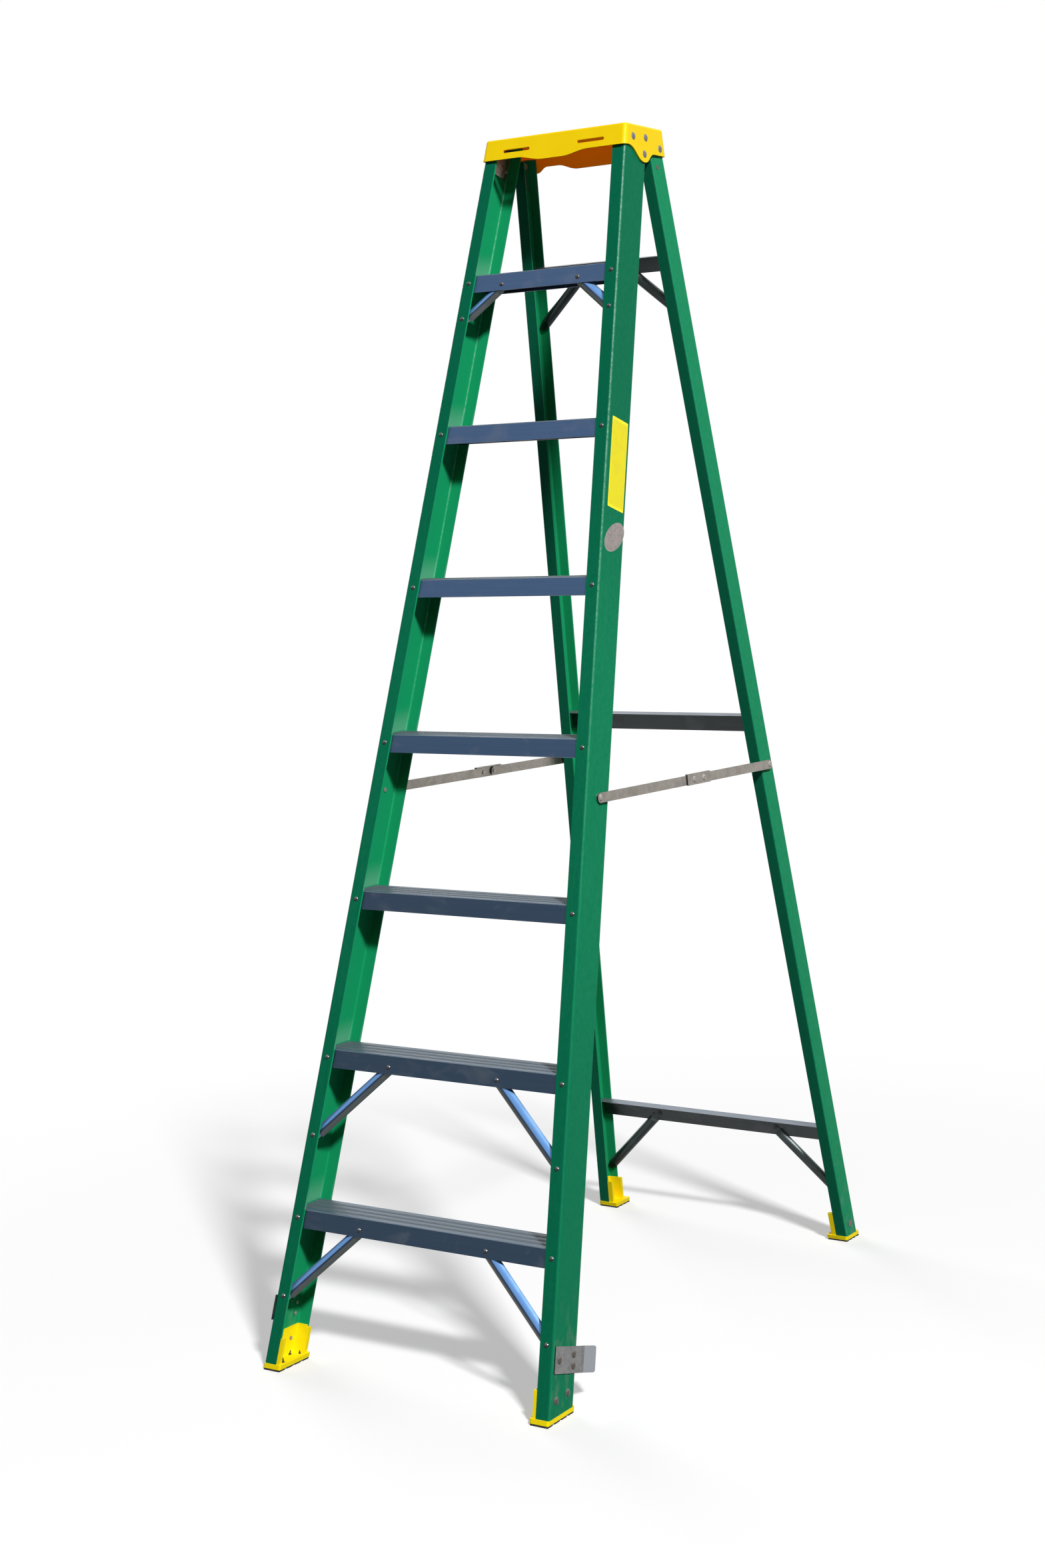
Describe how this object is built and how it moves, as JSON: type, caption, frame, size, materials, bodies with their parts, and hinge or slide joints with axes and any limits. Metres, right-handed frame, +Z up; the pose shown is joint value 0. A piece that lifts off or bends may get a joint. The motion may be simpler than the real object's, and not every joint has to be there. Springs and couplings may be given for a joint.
{
  "type": "step ladder",
  "caption": "Folding step ladder with channel rails of green fibreglass, ribbed metal steps, diagonal braces, a yellow moulded cap and shoes, and jointed spreaders.",
  "frame": {"origin": "on the floor, midway between the feet across and from the front toe to the rear heel", "axes": "+Z up, -Y towards the climber's side, +X to the right seen from the front"},
  "size_m": [0.64, 1.2556, 2.3108],
  "materials": {
    "fibreglass": "satin, with fine fibre mottling",
    "yellow_plastic": "moulded satin",
    "aluminium": "mill finish",
    "steel": "zinc plated",
    "rubber": "matt"
  },
  "bodies": {
    "front_frame": {"front_rail_left": "fibreglass", "front_rail_right": "fibreglass", "top_cap": "yellow_plastic", "backing_plate_left": "steel", "backing_plate_right": "steel", "closing_guide_left": "steel", "closing_guide_right": "steel", "front_shoe_left": "yellow_plastic", "front_shoe_right": "yellow_plastic", "front_pad_left": "rubber", "front_pad_right": "rubber", "step_1": "aluminium", "step_2": "aluminium", "step_3": "aluminium", "step_4": "aluminium", "step_5": "aluminium", "step_6": "aluminium", "step_7": "aluminium", "step_1_brace_left": "aluminium", "step_1_brace_right": "aluminium", "step_2_brace_left": "aluminium", "step_2_brace_right": "aluminium", "step_7_brace_left": "aluminium", "step_7_brace_right": "aluminium", "front_flange_rivets": "steel", "front_web_rivets": "steel", "hinge_pins": "steel", "hinge_washers": "steel", "spreader_front_rivets": "steel", "spreader_front_spacers": "steel"},
    "rear_frame": {"rear_rail_left": "fibreglass", "rear_rail_right": "fibreglass", "hinge_plate_left": "steel", "hinge_plate_right": "steel", "rear_shoe_left": "yellow_plastic", "rear_shoe_right": "yellow_plastic", "rear_pad_left": "rubber", "rear_pad_right": "rubber", "rear_bar_low": "aluminium", "rear_bar_middle": "aluminium", "rear_bar_high": "aluminium", "rear_brace_low_left": "aluminium", "rear_brace_low_right": "aluminium", "rear_brace_high_left": "aluminium", "rear_brace_high_right": "aluminium", "rear_flange_rivets": "steel", "rear_web_rivets": "steel", "spreader_rear_tails": "steel", "spreader_rear_spacers": "steel"},
    "spreader_front_right": {"spreader_front_bar_right": "steel"},
    "spreader_lock_right": {"lock_plate_right": "steel", "lock_rivets_right": "steel"},
    "spreader_rear_right": {"spreader_rear_bar_right": "steel", "spreader_end_rivet_right": "steel"},
    "spreader_front_left": {"spreader_front_bar_left": "steel"},
    "spreader_lock_left": {"lock_plate_left": "steel", "lock_rivets_left": "steel"},
    "spreader_rear_left": {"spreader_rear_bar_left": "steel", "spreader_end_rivet_left": "steel"}
  },
  "joints": [
    {"name": "rear_fold", "type": "hinge", "parent": "front_frame", "child": "rear_frame", "pos_m": [0, 0.17105, 2.27214], "axis": [-1, 0, 0], "range_deg": [0, 27.2]},
    {"name": "spreader_front_pivot_right", "type": "hinge", "parent": "front_frame", "child": "spreader_front_right", "pos_m": [0.24717, -0.27037, 1.0603], "axis": [0.9977, 0.0055, 0.068], "range_deg": [0, 70.87]},
    {"name": "lock_front_pivot_right", "type": "hinge", "parent": "spreader_front_right", "child": "spreader_lock_right", "pos_m": [0.24564, 0.07559, 1.05468], "axis": [0.9977, 0.0055, 0.068], "range_deg": [-116.77, 0]},
    {"name": "lock_rear_pivot_right", "type": "hinge", "parent": "spreader_lock_right", "child": "spreader_rear_right", "pos_m": [0.24547, 0.11388, 1.05406], "axis": [0.9977, 0.0055, 0.068], "range_deg": [-55.88, 0]},
    {"name": "spreader_front_pivot_left", "type": "hinge", "parent": "front_frame", "child": "spreader_front_left", "pos_m": [-0.24717, -0.27037, 1.0603], "axis": [0.9977, -0.0055, -0.068], "range_deg": [0, 70.87]},
    {"name": "lock_front_pivot_left", "type": "hinge", "parent": "spreader_front_left", "child": "spreader_lock_left", "pos_m": [-0.24564, 0.07559, 1.05468], "axis": [0.9977, -0.0055, -0.068], "range_deg": [-116.77, 0]},
    {"name": "lock_rear_pivot_left", "type": "hinge", "parent": "spreader_lock_left", "child": "spreader_rear_left", "pos_m": [-0.24547, 0.11388, 1.05406], "axis": [0.9977, -0.0055, -0.068], "range_deg": [-55.88, 0]}
  ],
  "couplings": [
    {"joint": "spreader_front_pivot_right", "follows": "rear_fold", "ratio": 2.6053},
    {"joint": "lock_front_pivot_right", "follows": "rear_fold", "ratio": -4.2927},
    {"joint": "lock_rear_pivot_right", "follows": "rear_fold", "ratio": -2.0541},
    {"joint": "spreader_front_pivot_left", "follows": "rear_fold", "ratio": 2.6053},
    {"joint": "lock_front_pivot_left", "follows": "rear_fold", "ratio": -4.2927},
    {"joint": "lock_rear_pivot_left", "follows": "rear_fold", "ratio": -2.0541}
  ]
}
